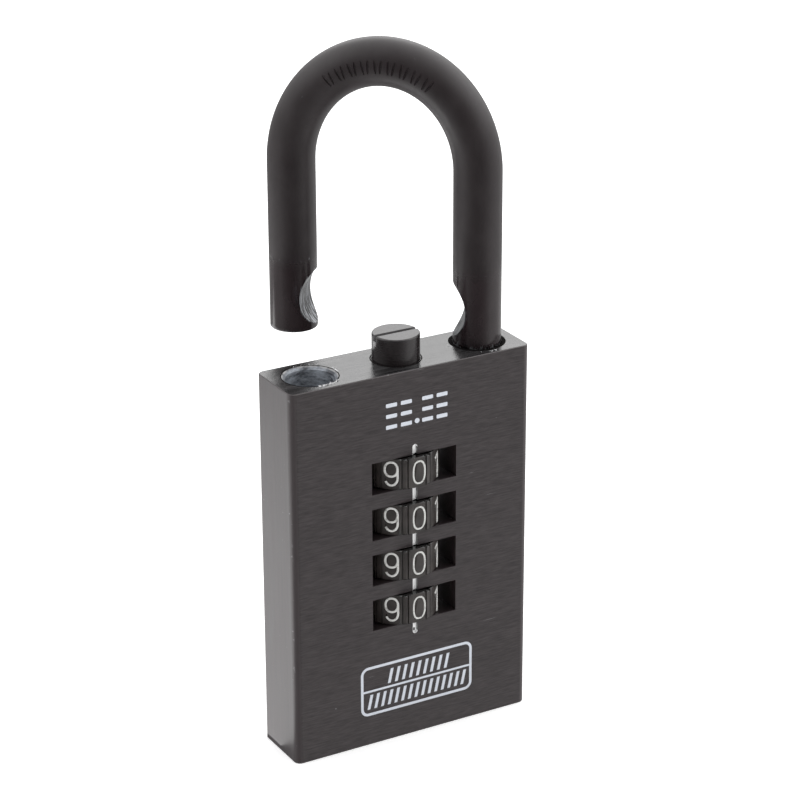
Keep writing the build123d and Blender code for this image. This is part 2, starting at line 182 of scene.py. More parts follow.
def make_floor():
    """Plain pale floor, lit from inside as a light table is."""
    mesh = bpy.data.meshes.new("floor")
    half = 3.0
    corners = [(-half, -half, 0), (half, -half, 0), (half, half, 0), (-half, half, 0)]
    mesh.from_pydata(corners, [], [(0, 1, 2, 3)])
    floor = bpy.data.objects.new("floor", mesh)
    bpy.context.scene.collection.objects.link(floor)
    shader = Shader("floor_paper")
    shader.principled(base=(0.93, 0.93, 0.93), roughness=0.9, specular=0.2)
    shader.main.inputs["Emission Color"].default_value = (1, 1, 1, 1)
    shader.main.inputs["Emission Strength"].default_value = 0.45
    mesh.materials.append(shader.material)
    floor.visible_glossy = False


# ---------------------------------------------------------------- materials

CHAMBER_HALF_WIDTH = 10.0 * MM             # the region of the windows' inner walls
CHAMBER_TOP = 60 * MM
TOE_HOLE_REACH = 5.4 * MM                  # each a little over the radius of its hole
HEEL_HOLE_REACH = 5.05 * MM
PLUG_HOLE_REACH = 4.75 * MM
SLOT_HALF_WIDTH = 0.505 * MM               # a little over the half width of the plug's slot
SLOT_ROOM = 2 * MM                         # more than the slot's depth, so it also colours the side below


class Shader:
    """Small helper that wires up one node material."""

    def __init__(self, name):
        self.material = bpy.data.materials.new(name)
        self.material.use_nodes = True
        self.tree = self.material.node_tree
        self.main = self.tree.nodes["Principled BSDF"]
        self.coordinates = self.tree.nodes.new("ShaderNodeTexCoord")
        self.place = self.coordinates.outputs["Object"]

    def principled(self, base=None, metallic=None, roughness=None, specular=0.5):
        """Sets constant values on the main shader; what is None stays as it is."""
        values = {"Base Color": base and (*base, 1), "Metallic": metallic, "Roughness": roughness,
                  "Specular IOR Level": specular}
        for socket, value in values.items():
            if value is not None:
                self.main.inputs[socket].default_value = value

    def node(self, kind, inputs=None, **settings):
        return add_node(self.tree, kind, inputs, **settings)

    def link(self, output, socket):
        self.tree.links.new(output, self.main.inputs[socket])

    def noise(self, scale, detail=2.0, roughness=0.5, turn=(0, 0, 0)):
        """Noise value with its own scale along each axis, in units per metre, after a turn."""
        turned = self.node("Mapping", {"Vector": self.place, "Rotation": turn}).outputs["Vector"]
        stretched = self.node("Mapping", {"Vector": turned, "Scale": scale}).outputs["Vector"]
        inputs = {"Vector": stretched, "Scale": 1.0, "Detail": detail, "Roughness": roughness}
        return self.node("TexNoise", inputs).outputs["Fac"]

    def spread(self, value, low, high, to_low=0.0, to_high=1.0):
        """Maps a value from one range to another, with clamped ends."""
        inputs = {"Value": value, "From Min": low, "From Max": high, "To Min": to_low, "To Max": to_high}
        return self.node("MapRange", inputs).outputs["Result"]

    def math(self, operation, first, second=0.0):
        return self.node("Math", {0: first, 1: second}, operation=operation).outputs[0]

    def both(self, *values):
        """Product of several values."""
        result = values[0]
        for value in values[1:]:
            result = self.math("MULTIPLY", result, value)
        return result

    def most(self, *values):
        """Largest of several values."""
        result = values[0]
        for value in values[1:]:
            result = self.math("MAXIMUM", result, value)
        return result

    def without(self, value):
        """1 where a value is 0, and 0 where it is 1."""
        return self.math("SUBTRACT", 1.0, value)

    def over(self, value, limit, fade):
        """0 up to a limit, and 1 from the fade above it."""
        return self.spread(value, limit, limit + fade)

    def under(self, value, limit, fade):
        """1 up to a limit, and 0 from the fade above it."""
        return self.spread(value, limit, limit + fade, 1, 0)

    def blend(self, factor, first, second):
        """Mixes two colours or two values."""
        is_socket = isinstance(first, bpy.types.NodeSocket)
        is_colour = isinstance(first, tuple) or (is_socket and first.type == "RGBA")
        if is_colour:
            first = (*first, 1) if isinstance(first, tuple) else first
            second = (*second, 1) if isinstance(second, tuple) else second
            return self.node("Mix", {0: factor, 6: first, 7: second}, data_type="RGBA").outputs[2]
        return self.node("Mix", {0: factor, 2: first, 3: second}, data_type="FLOAT").outputs[0]

    def bump(self, height, strength, distance):
        inputs = {"Height": height, "Strength": strength, "Distance": distance}
        self.link(self.node("Bump", inputs).outputs["Normal"], "Normal")

    def part(self, axis):
        """One coordinate of the place, in metres."""
        return self.node("SeparateXYZ", {0: self.place}).outputs[axis]

    def flat(self, axis, low=0.97, high=0.995):
        """1 on faces square to an axis and 0 on all others."""
        normal = self.node("SeparateXYZ", {0: self.coordinates.outputs["Normal"]}).outputs[axis]
        return self.spread(self.math("ABSOLUTE", normal), low, high)

    def gap(self, centre):
        """Level distance from an upright axis, in metres."""
        level = self.node("VectorMath", {0: self.place, 1: (1, 1, 0)}, operation="MULTIPLY").outputs[0]
        return self.node("VectorMath", {0: level, 1: tuple(centre)}, operation="DISTANCE").outputs["Value"]

    def specks(self, per_metre, size, share):
        """Sparse round specks: one in some of the cells, of a size in cells."""
        cells = self.node("TexVoronoi", {"Vector": self.place, "Scale": per_metre})
        chosen = self.node("SeparateXYZ", {0: cells.outputs["Color"]}).outputs[0]
        chosen = self.math("LESS_THAN", chosen, share)
        return self.both(chosen, self.spread(cells.outputs["Distance"], size * 0.5, size, 1, 0))


def brushed_black(shader, side, top, flats):
    """Grain of the brushing, and the dark colour that it gives the block's faces."""
    along_x = shader.noise((300, 3800, 3800), detail=4.0, roughness=0.65)
    along_z = shader.noise((1500, 1500, 120), detail=4.0, roughness=0.65)
    grain = shader.blend(side, along_x, along_z)
    streaks = shader.blend(side, shader.noise((25, 900, 900)), shader.noise((900, 900, 25)))
    tone = shader.spread(shader.blend(0.12, grain, streaks), 0.36, 0.64)
    tone = shader.blend(flats, 0.95, tone)
    colour = shader.blend(tone, (0.0095, 0.003, 0.0045), (0.043, 0.0325, 0.0345))
    drawn = shader.spread(shader.noise((60, 1500, 1500), detail=4.0, roughness=0.7), 0.36, 0.64)
    return grain, shader.blend(top, colour, shader.blend(drawn, (0.001, 0.001, 0.001), (0.05, 0.048, 0.05)))


def bright_marks(shader, height, across, side, top):
    """1 on short scratches and specks on the faces, and on nicks along the edges."""
    cloud = shader.noise((170, 170, 170), detail=3.0)
    scratch = shader.both(shader.spread(shader.noise((90, 2600, 2600), detail=1.0), 0.755, 0.77),
                          shader.spread(cloud, 0.56, 0.64))
    specks = shader.specks(230, 0.045, 0.25)
    near_top = shader.over(height, BODY_TOP - 0.35 * MM, 0.3 * MM)
    near_side = shader.over(across, BODY_HIGH.x - 0.3 * MM, 0.25 * MM)
    edge = shader.both(shader.most(near_side, near_top), shader.without(top), shader.without(side))
    nicks = shader.both(edge, shader.spread(shader.noise((900, 900, 900), detail=3.0), 0.66, 0.7))
    return shader.most(scratch, specks, nicks)


def toe_hole_metal(shader, height, top, colour):
    """Where the toe hole's wall is, and the colour with its smeared wall, painted shade on the wall's left part,
    and its bare rim.
    """
    from_axis = shader.gap(TOE_HOLE)
    bore = shader.both(shader.under(from_axis, TOE_HOLE_REACH, 0.1 * MM),
                       shader.under(height, BODY_TOP - 0.2 * MM, 0.19 * MM))
    smears = shader.noise((260, 260, 700), detail=6.0, roughness=0.7)
    wall = shader.blend(shader.spread(smears, 0.4, 0.62), (0.06, 0.066, 0.08), (0.5, 0.54, 0.6))
    # Painted shade: the hole's wall is coloured darker towards its left part.
    shade = shader.spread(shader.part(0), TOE_HOLE.x - 5 * MM, TOE_HOLE.x - MM, 0.85, 0)
    colour = shader.blend(bore, colour, shader.blend(shade, wall, (0.02, 0.022, 0.026)))
    rim = shader.both(shader.under(from_axis, TOE_HOLE_REACH + 0.15 * MM, 0.1 * MM),
                      shader.over(height, BODY_TOP - 0.3 * MM, 0.1 * MM),
                      shader.spread(shader.noise((700, 700, 700)), 0.4, 0.5), shader.without(top))
    return bore, shader.blend(shader.math("MULTIPLY", rim, 0.8), colour, (0.5, 0.5, 0.5))


def painted_shade_openings(shader, height, across):
    """1 where painted shade goes: on the windows' inner walls and in the heel's and the plug's holes."""
    depth = shader.math("ABSOLUTE", shader.part(1))
    walls = shader.both(shader.under(depth, -FRONT_Y - 0.5 * MM, 0.3 * MM),
                        shader.under(across, CHAMBER_HALF_WIDTH, 0.5 * MM),
                        shader.over(height, 0.2 * MM, 0.3 * MM),
                        shader.under(height, CHAMBER_TOP, MM))
    mouths = shader.most(shader.under(shader.gap(HEEL), HEEL_HOLE_REACH, 0.05 * MM),
                         shader.under(shader.gap(PLUG), PLUG_HOLE_REACH, 0.05 * MM))
    return shader.most(walls, shader.both(mouths, shader.over(height, CHAMBER_TOP, MM)))


def anodised():
    """Brushed block anodised black: bare in the toe hole, nicked on its edges, with painted shade in its other
    openings.
    """
    shader = Shader("black_anodised_brushed")
    height, across = shader.part(2), shader.math("ABSOLUTE", shader.part(0))
    side = shader.flat(0)
    top = shader.both(shader.flat(2), shader.over(height, BODY_TOP - MM, 0.5 * MM))
    flats = shader.most(side, shader.flat(1), top)
    grain, colour = brushed_black(shader, side, top, flats)
    bright = bright_marks(shader, height, across, side, top)
    colour = shader.blend(shader.math("MULTIPLY", bright, 0.5), colour, (0.25, 0.25, 0.26))
    bore, colour = toe_hole_metal(shader, height, top, colour)
    inside = painted_shade_openings(shader, height, across)
    # Painted shade: the windows' inner walls and the heel's and the plug's holes take one darker colour.
    shader.link(shader.blend(inside, colour, (0.022, 0.016, 0.017)), "Base Color")
    rough = shader.blend(flats, 0.42, shader.spread(grain, 0.3, 0.7, 0.4, 0.52))
    rough = shader.blend(top, rough, shader.spread(grain, 0.3, 0.7, 0.12, 0.25))
    rough = shader.blend(bore, rough, 0.65)
    shader.link(shader.blend(inside, rough, 0.3), "Roughness")
    shader.principled(specular=0.8)
    relief = shader.blend(top, grain, shader.math("MULTIPLY", grain, 3.0))
    shader.bump(shader.blend(flats, 0.5, relief), 0.3, 0.00004)
    return shader.material


def black_steel():
    """Satin black coated bar, with fine scratches, bare bright steel where it is machined."""
    shader = Shader("black_steel")
    wear, bare, polish = (shader.node("Attribute", attribute_name=name).outputs["Fac"]
                          for name in ("wear", "bare", "polish"))
    grain = shader.noise((1800, 1800, 500), detail=5.0, roughness=0.65)
    blotch = shader.noise((260, 260, 160), detail=4.0)
    coat = shader.blend(shader.spread(blotch, 0.35, 0.65), (0.0165, 0.0105, 0.0118), (0.023, 0.0165, 0.018))
    along_axis = (0, 0, -atan2(OUT_FRONT.y, OUT_FRONT.x))
    lines = shader.noise((2300, 420, 260), detail=4.0, roughness=0.7, turn=along_axis)
    steel = shader.blend(shader.spread(lines, 0.48, 0.58), (0.01, 0.01, 0.011), (0.36, 0.37, 0.39))
    rub = shader.spread(shader.math("ADD", wear, shader.spread(grain, 0.3, 0.7, -0.45, 0.45)), 0.45, 0.75)
    fleck = shader.spread(shader.noise((1500, 1500, 900), detail=2.0), 0.74, 0.78)
    shown = shader.most(shader.math("MULTIPLY", rub, 0.6), shader.math("MULTIPLY", fleck, 0.12), bare)
    shader.link(shader.blend(shown, coat, steel), "Base Color")
    shader.link(shader.math("MULTIPLY", shown, 0.85), "Metallic")
    shader.principled(specular=0.6)
    satin = shader.blend(polish, shader.spread(grain, 0.3, 0.7, 0.36, 0.44), 0.12)
    shader.link(shader.blend(bare, satin, shader.spread(lines, 0.3, 0.7, 0.25, 0.5)), "Roughness")
    shader.bump(shader.blend(bare, grain, shader.math("MULTIPLY", lines, 3.0)), 0.3, 0.00004)
    return shader.material


def plug_black():
    """Turned plug, anodised black, with a scuffed top."""
    shader = Shader("plug_black")
    grain = shader.noise((2500, 2500, 2500), detail=4.0)
    rings = shader.noise((90, 90, 7000), detail=2.0)
    height = shader.part(2)
    top = shader.over(height, PLUG_TOP - 0.4 * MM, 0.3 * MM)
    scuffed = shader.both(top, shader.spread(grain, 0.45, 0.75, 0.0, 0.35))
    colour = shader.blend(scuffed, (0.0145, 0.0105, 0.0112), (0.14, 0.135, 0.14))
    off_middle = shader.math("ABSOLUTE", shader.math("SUBTRACT", shader.part(1), PLUG.y))
    slot = shader.both(shader.under(off_middle, SLOT_HALF_WIDTH, 0.01 * MM),
                       shader.over(height, PLUG_TOP - SLOT_ROOM, 0.1 * MM))
    shader.link(shader.blend(slot, colour, (0.16, 0.155, 0.16)), "Base Color")
    shader.link(shader.blend(top, shader.spread(rings, 0.3, 0.7, 0.2, 0.28), 0.3), "Roughness")
    shader.principled(specular=0.8)
    shader.bump(shader.blend(top, rings, grain), 0.2, 0.00003)
    return shader.material


def wheel_black():
    """Black lacquered metal, rubbed a little on its edges, its end faces painted near black as the shade inside
    the body.
    """
    shader = Shader("wheel_black")
    grain = shader.noise((2200, 2200, 2200), detail=3.0)
    cloud = shader.noise((500, 500, 500), detail=3.0)
    base = shader.blend(shader.spread(cloud, 0.3, 0.7), (0.02, 0.0155, 0.014), (0.042, 0.034, 0.0305))
    specks = shader.specks(900, 0.12, 0.12)
    # Painted shade: the end faces are coloured near black and made glossy, for the dark inside of the body above
    # and below the flats.
    ends = shader.flat(2, 0.3, 0.5)
    base = shader.blend(ends, base, (0.002, 0.0015, 0.0015))
    shader.link(shader.blend(shader.math("MULTIPLY", specks, 0.35), base, (0.3, 0.3, 0.3)), "Base Color")
    rough = shader.spread(grain, 0.3, 0.7, 0.36, 0.5)
    shader.link(shader.blend(ends, rough, 0.08), "Roughness")
    shader.principled(specular=0.75)
    shader.bump(grain, 0.08, 0.00002)
    return shader.material


def white_paint(name, bright=(0.62, 0.62, 0.6), dull=(0.22, 0.21, 0.2), worn=0.5):
    """White filler, uneven and partly rubbed out; a higher worn value leaves more of it whole."""
    shader = Shader(name)
    cloud = shader.noise((1300, 1300, 1300), detail=4.0, roughness=0.65)
    shader.link(shader.blend(shader.spread(cloud, worn, worn + 0.2), bright, dull), "Base Color")
    shader.principled(roughness=0.5, specular=0.4)
    shader.bump(cloud, 0.3, 0.00003)
    return shader.material


def burr_painted_shade():
    """Black torn metal at the mouths of the holes, near black and almost without sheen: painted shade of the
    crevices there.
    """
    shader = Shader("burr_lip_painted_shade")
    crumbs = shader.noise((1500, 1500, 1500), detail=4.0, roughness=0.7)
    shader.link(shader.blend(crumbs, (0.002, 0.0018, 0.0018), (0.012, 0.0105, 0.0105)), "Base Color")
    shader.principled(roughness=0.9, specular=0.04)
    shader.bump(crumbs, 0.5, 0.0001)
    return shader.material


def bare_flakes():
    """Bright flakes of bare metal."""
    shader = Shader("bare_flakes")
    crumbs = shader.noise((2500, 2500, 2500), detail=3.0)
    shader.link(shader.blend(crumbs, (0.35, 0.35, 0.36), (0.85, 0.85, 0.86)), "Base Color")
    shader.principled(metallic=0.3, roughness=0.35)
    shader.bump(crumbs, 0.3, 0.00005)
    return shader.material


def machined(name, base, roughness):
    """Plain machined metal for the inner parts."""
    shader = Shader(name)
    rings = shader.noise((400, 400, 6000), detail=3.0)
    dark = tuple(c * 0.7 for c in base)
    shader.link(shader.blend(shader.spread(rings, 0.3, 0.7), dark, base), "Base Color")
    shader.principled(metallic=1.0)
    shader.link(shader.spread(rings, 0.3, 0.7, roughness - 0.06, roughness + 0.08), "Roughness")
    shader.bump(rings, 0.15, 0.00003)
    return shader.material


# ---------------------------------------------------------------- mesh helpers

def add_object(name, mesh, material, body, replaced=()):
    """Links a mesh as a piece that rides on a body."""
    piece = bpy.data.objects.new(name, mesh)
    bpy.context.scene.collection.objects.link(piece)
    mesh.materials.clear()
    mesh.materials.append(material)
    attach(piece, body)
    if replaced:
        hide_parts(*replaced)
    return piece


def mesh_from(name, vertices, faces):
    mesh = bpy.data.meshes.new(name)
    mesh.from_pydata([tuple(v) for v in vertices], [], faces)
    mesh.validate()
    return mesh


def evaluated(helper, name):
    """Mesh of an object after its modifiers, or of a curve; the object is removed."""
    bpy.context.scene.collection.objects.link(helper)
    bpy.context.view_layer.update()
    mesh = bpy.data.meshes.new_from_object(helper.evaluated_get(bpy.context.evaluated_depsgraph_get()))
    mesh.name = name
    bpy.data.objects.remove(helper)
    return mesh


def cut_away(name, mesh, cutter):
    """Mesh with another mesh cut out of it."""
    tool = bpy.data.objects.new("cutter", cutter)
    bpy.context.scene.collection.objects.link(tool)
    helper = bpy.data.objects.new(name + "_helper", mesh)
    boolean = helper.modifiers.new("cut", "BOOLEAN")
    boolean.operation = "DIFFERENCE"
    boolean.object = tool
    boolean.solver = "EXACT"
    boolean.use_self = True
    result = evaluated(helper, name)
    bpy.data.objects.remove(tool)
    return result


def smooth(mesh, angle=30):
    mesh.shade_smooth()
    mesh.set_sharp_from_angle(angle=radians(angle))
    return mesh


def joined(name, meshes):
    """One mesh from several."""
    work = bmesh.new()
    for mesh in meshes:
        work.from_mesh(mesh)
    result = bpy.data.meshes.new(name)
    work.to_mesh(result)
    work.free()
    return result


def ring_points(centre, across, upward, radius, count):
    """Points of a circle."""
    turns = [2 * pi * k / count for k in range(count)]
    return [centre + (across * cos(t) + upward * sin(t)) * radius for t in turns]


def skin(name, rings, closed=False):
    """Tube through rings of equal size, capped at its ends or closed into a loop."""
    count = len(rings[0])
    vertices = [p for ring in rings for p in ring]
    faces = []
    for j in range(len(rings) if closed else len(rings) - 1):
        low, high = j * count, (j + 1) % len(rings) * count
        for k in range(count):
            n = (k + 1) % count
            faces.append((low + k, low + n, high + n, high + k))
    if not closed:
        faces.append(tuple(reversed(range(count))))
        faces.append(tuple((len(rings) - 1) * count + k for k in range(count)))
    return mesh_from(name, vertices, faces)


# ---------------------------------------------------------------- shackle

SHACKLE_LOW, SHACKLE_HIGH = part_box("shackle")
ALONG = (HEEL - TOE).normalized()          # from the toe leg to the heel leg
OUT_FRONT = ALONG.cross(UP)                # out of the bow's front side
BOW_HALF = (HEEL - TOE).length / 2
BOW_RISE = 19.6 * MM
BEND_Z = SHACKLE_HIGH.z - BAR_RADIUS - BOW_RISE
SKIN_GAP = 0.002 * MM                      # keeps the visible bar inside the CAD bar
TOE_END_Z = BODY_TOP + 0.3 * MM
TOE_ROUNDING = 0.3 * MM
HEEL_CHAMFER = 0.5 * MM
NOTCH_Z = 81.0 * MM
NOTCH_DEPTH = 2.3 * MM
NOTCH_RADIUS = 7.2 * MM
HEEL_NOTCH_TURN = radians(11.7)
BARE_BELOW = (NOTCH_Z + 2.9 * MM, NOTCH_Z - 0.5 * MM)  # where each notch has lost its coating: toe, heel
SCUFF_Z = 88.9 * MM                        # ring rubbed on the toe leg
LEG_REACH = 6 * MM                         # more than the bar's radius
NECK_Z = (56.7 * MM, 73.2 * MM)
NECK_RADIUS = 2.4 * MM
BAR_SIDES = 96


def on_bow(turn):
    """Centre of the bar at a turn round the bow, and the way outwards from there."""
    centre = (TOE + HEEL) / 2 - ALONG * BOW_HALF * cos(turn) + UP * (BEND_Z + BOW_RISE * sin(turn))
    outward = -ALONG * cos(turn) / BOW_HALF + UP * sin(turn) / BOW_RISE
    return centre, outward.normalized()


def make_bar():
    """Bent bar with rounded toe end, chamfered heel end and necked heel leg."""
    full = BAR_RADIUS - SKIN_GAP
    sections = []                            # (centre, across direction, radius)

    def level(foot, z, radius, across):
        sections.append((foot + UP * z, across, radius))

    corner, steps, bends = 6, 60, 110
    for k in range(corner + 1):
        turn = pi / 2 * k / corner
        level(TOE, TOE_END_Z + TOE_ROUNDING * (1 - cos(turn)), full - TOE_ROUNDING * (1 - sin(turn)), ALONG)
    start = TOE_END_Z + TOE_ROUNDING
    for k in range(1, steps):
        level(TOE, start + (BEND_Z - start) * k / steps, full, ALONG)
    for k in range(bends + 1):
        centre, outward = on_bow(pi * k / bends)
        sections.append((centre, -outward, full))
    down = [(BEND_Z + (NECK_Z[1] - BEND_Z) * k / steps, full) for k in range(1, steps + 1)]
    down += [(NECK_Z[1], NECK_RADIUS), (NECK_Z[0], NECK_RADIUS), (NECK_Z[0], full)]
    down += [(SHACKLE_LOW.z + HEEL_CHAMFER, full), (SHACKLE_LOW.z, full - HEEL_CHAMFER)]
    for z, radius in down:
        level(HEEL, z, radius, -ALONG)
    rings = [ring_points(centre, across, -OUT_FRONT, radius, BAR_SIDES)
             for centre, across, radius in sections]
    return skin("shackle_bar", rings)


def notch_frames():
    """Axis place and axis direction of each notch's round cutter."""
    offset = BAR_RADIUS - NOTCH_DEPTH + NOTCH_RADIUS
    askew = Matrix.Rotation(HEEL_NOTCH_TURN, 3, "Z")
    return [(TOE + ALONG * offset + UP * NOTCH_Z, OUT_FRONT),
            (HEEL - askew @ ALONG * offset + UP * NOTCH_Z, askew @ OUT_FRONT)]


def notch_cutter(centre, axis):
    reach = BAR_RADIUS * 1.4
    side = UP.cross(axis)
    rings = [ring_points(centre + axis * d, side, UP, NOTCH_RADIUS, 128) for d in (-reach, reach)]
    return skin("notch_cutter", rings)


def stamped_marks():
    """Row of short plain strokes, to be pressed into the front of the bow."""
    pairs, spread, half_gap, half_length = 9, radians(31), 0.5 * MM, 1.25 * MM
    levels = ((BAR_RADIUS - 0.26 * MM, 0.08 * MM), (BAR_RADIUS + 0.3 * MM, 0.42 * MM))
    meshes = []
    for k in range(pairs):
        turn = pi / 2 + spread * (2 * k / (pairs - 1) - 1)
        centre, outward = on_bow(turn)
        forward = outward.cross(OUT_FRONT)
        for side in (-1, 1):
            middle = centre + forward * side * half_gap
            lean = outward + forward * 0.12 * side
            corners = ((-1, -1), (1, -1), (1, 1), (-1, 1))
            rings = [[middle + OUT_FRONT * d + forward * a * half_width + lean * b * half_length
                      for a, b in corners] for d, half_width in levels]
            meshes.append(skin("stroke", rings))
    return joined("stamped_marks", meshes)


def wear_attributes(mesh):
    """Marks bare notch faces, rubbed coating, and the polish on the lengths that go into the body."""
    notch_wear, scuff_wear, end_wear = 0.35 * MM, 0.7 * MM, 0.8 * MM  # how far each kind of rubbing reaches
    ragged, ragged_scale = 0.8 * MM, 900     # unevenness of the bare faces' upper limit
    on_face = 0.02 * MM
    frames = notch_frames()
    bare = mesh.attributes.new("bare", "FLOAT", "CORNER")
    wear = mesh.attributes.new("wear", "FLOAT", "POINT")
    polish = mesh.attributes.new("polish", "FLOAT", "POINT")
    drawn_in = BODY_TOP - joint_of["shackle_lift"]["range_m"][0]

    def off_notch(point, frame_of):
        centre, axis = frame_of
        return abs(hypot((point - centre).dot(axis.cross(UP)), point.z - centre.z) - NOTCH_RADIUS)

    for vertex in mesh.vertices:
        point = vertex.co
        on_toe = (point - TOE).xy.length < LEG_REACH
        near_notch = max(0.0, 1 - min(off_notch(point, f) for f in frames) / notch_wear)
        scuff = max(0.0, 1 - abs(point.z - SCUFF_Z) / scuff_wear) * 0.4 if on_toe else 0
        low_end = max(0.0, 1 - (point.z - TOE_END_Z) / end_wear) * 0.6  # toe end, heel leg inside the body
        wear.data[vertex.index].value = max(near_notch, scuff, low_end)
        polish.data[vertex.index].value = min(1.0, max(0.0, (drawn_in + 1.5 * MM - point.z) / (3 * MM)))
    for polygon in mesh.polygons:
        middle, normal = polygon.center, polygon.normal
        level = middle.z + noise.noise(middle * ragged_scale) * ragged
        inside = any(off_notch(middle, f) < on_face and abs(normal.dot(f[1])) < 0.3 and level < top
                     for f, top in zip(frames, BARE_BELOW))
        for corner in polygon.loop_indices:
            bare.data[corner].value = 1.0 if inside else 0.0


def make_shackle(material):
    bar = make_bar()
    for centre, axis in notch_frames():
        bar = cut_away("shackle_bar", bar, notch_cutter(centre, axis))
    bar = cut_away("shackle_bar", bar, stamped_marks())
    wear_attributes(bar)
    smooth(bar, 30)
    return add_object("shackle_bow", bar, material, "shackle", ["shackle"])


# ---------------------------------------------------------------- number wheels

DIGIT_HALF_WIDTH = 1.2 * MM
DIGIT_HALF_HEIGHT = 2.43 * MM
STROKE_RADIUS = 0.27 * MM
STROKE_SHARE = {0: 0.88, 1: 1.6}           # the 0 is cut more finely and the 1 more boldly
DIGIT_SHIFT = {0: 0.48 * MM, 1: 0.3 * MM, 8: -0.5 * MM, 9: -0.08 * MM}  # off the middle of their flats
FACET_DISTANCE = 7.7 * MM
WHEEL_STEP = radians(36)


def arc(x, z, radius_x, radius_z, start, end, count=18):
    """Points on part of an ellipse, angles in degrees, anticlockwise if end is larger."""
    turns = [radians(start + (end - start) * k / count) for k in range(count + 1)]
    return [(x + radius_x * cos(t), z + radius_z * sin(t)) for t in turns]


def rounded_loop(x, z, radius_x, radius_z, power=2.5, count=40):
    """Closed loop between an ellipse and a box."""
    points = []
    for k in range(count):
        t = 2 * pi * k / count
        c, s = cos(t), sin(t)
        points.append((x + radius_x * abs(c) ** (2 / power) * (1 if c >= 0 else -1),
                       z + radius_z * abs(s) ** (2 / power) * (1 if s >= 0 else -1)))
    return points


def digit_strokes(digit):
    """Centre lines of a digit as (points, closed) in a box from -1 to 1."""
    nine = [(rounded_loop(-0.02, 0.4, 0.98, 0.58, 2.2), True),
            ([(0.96, 0.4), (0.97, -0.25)] + arc(0, -0.3, 0.97, 0.61, -5, -155), False)]
    shapes = {
        0: [(rounded_loop(0, -0.04, 1.0, 0.9), True)],
        1: [([(0.1, 0.42), (0.86, 0.82), (0.86, -1.22)], False)],
        2: [(arc(0, 0.42, 0.95, 0.58, 165, -30) + [(-0.95, -1), (0.98, -1)], False)],
        3: [(arc(-0.05, 0.5, 0.9, 0.5, 145, -80), False), (arc(-0.05, -0.46, 1, 0.54, 80, -145), False)],
        4: [([(0.45, -1), (0.45, 1), (-0.98, -0.42), (0.98, -0.42)], False)],
        5: [([(0.85, 1), (-0.7, 1), (-0.82, 0.12)] + arc(-0.02, -0.36, 0.98, 0.64, 140, -145), False)],
        6: [([(-x, -z) for x, z in points], closed) for points, closed in nine],
        7: [([(-0.95, 1), (0.95, 1), (-0.3, -1)], False)],
        8: [(rounded_loop(0, 0.5, 0.8, 0.5), True), (rounded_loop(0, -0.48, 0.98, 0.52), True)],
        9: nine,
    }
    return shapes[digit]


def stroke_mesh(name, strokes, radius):
    """Round tubes along a digit's strokes, flat in the XZ plane."""
    curve = bpy.data.curves.new(name, "CURVE")
    curve.dimensions = "3D"
    curve.bevel_depth = radius
    curve.bevel_resolution = 3
    curve.use_fill_caps = True
    for points, closed in strokes:
        spline = curve.splines.new("POLY")
        spline.points.add(len(points) - 1)
        spline.use_cyclic_u = closed
        for target, (x, z) in zip(spline.points, points):
            target.co = (x * DIGIT_HALF_WIDTH, 0, z * DIGIT_HALF_HEIGHT, 1)
    return evaluated(bpy.data.objects.new(name, curve), name)


def digit_ring(name, depth_scale, sink, width):
    """All ten digits round a wheel at the origin, tubes flattened by depth_scale and sunk under the flats."""
    meshes = []
    for digit in range(10):
        radius = STROKE_RADIUS * STROKE_SHARE.get(digit, 1) * width
        mesh = stroke_mesh(f"{name}_{digit}", digit_strokes(digit), radius)
        flatten = Matrix.Diagonal((1, depth_scale, 1, 1))
        place = Matrix.Translation((DIGIT_SHIFT.get(digit, 0), -FACET_DISTANCE + sink, 0))
        mesh.transform(Matrix.Rotation(WHEEL_STEP * digit, 4, "Z") @ place @ flatten)
        meshes.append(mesh)
    return joined(name, meshes)


def cad_mesh_copy(name, shift):
    """Closed copy of a CAD node's mesh, moved."""
    mesh = nodes[name].data.copy()
    work = bmesh.new()
    work.from_mesh(mesh)
    bmesh.ops.remove_doubles(work, verts=work.verts, dist=1e-7)
    bmesh.ops.translate(work, verts=work.verts, vec=shift)
    work.to_mesh(mesh)
    work.free()
    return mesh


def make_wheels(black, white):
    """Wheels with engraved digits and the white filler in them."""
    blank = cad_mesh_copy("number_wheel_1", -WHEEL_PLACES[0])
    engraved = cut_away("engraved_wheel", blank, digit_ring("digit_cutter", 0.8, 0, 1.0))
    smooth(engraved, 20)
    filler = smooth(digit_ring("digit_filler", 0.5, STROKE_RADIUS / 2, 0.98), 60)
    for i, place in enumerate(WHEEL_PLACES, start=1):
        wheel_mesh, digit_mesh = engraved.copy(), filler.copy()
        for mesh in (wheel_mesh, digit_mesh):
            mesh.transform(Matrix.Translation(place))
        add_object(f"digit_wheel_{i}", wheel_mesh, black, f"wheel_{i}", [f"number_wheel_{i}"])
        add_object(f"wheel_digits_{i}", digit_mesh, white, f"wheel_{i}")


# ---------------------------------------------------------------- printing and paint on the front

INDEX_X = 0.45 * MM
INDEX_HALF = 0.52 * MM
INDEX_Z = (21.1 * MM, 59.65 * MM)
INDEX_DEPTH = 0.5 * MM
WINDOW_HALF = 3.15 * MM
PRINT_THICKNESS = 0.04 * MM


def flat_shape(name, loops, y, thickness=PRINT_THICKNESS):
    """Flat plate in the XZ plane between and inside closed outlines; its middle is at y."""
    curve = bpy.data.curves.new(name, "CURVE")
    curve.dimensions = "2D"
    curve.fill_mode = "BOTH"
    curve.extrude = thickness / 2
    for points in loops:
        spline = curve.splines.new("POLY")
        spline.points.add(len(points) - 1)
        spline.use_cyclic_u = True
        for target, (x, z) in zip(spline.points, points):
            target.co = (x, z, 0, 1)
    mesh = evaluated(bpy.data.objects.new(name, curve), name)
    mesh.transform(Matrix.Translation((0, y, 0)) @ Matrix.Rotation(pi / 2, 4, "X"))
    return mesh


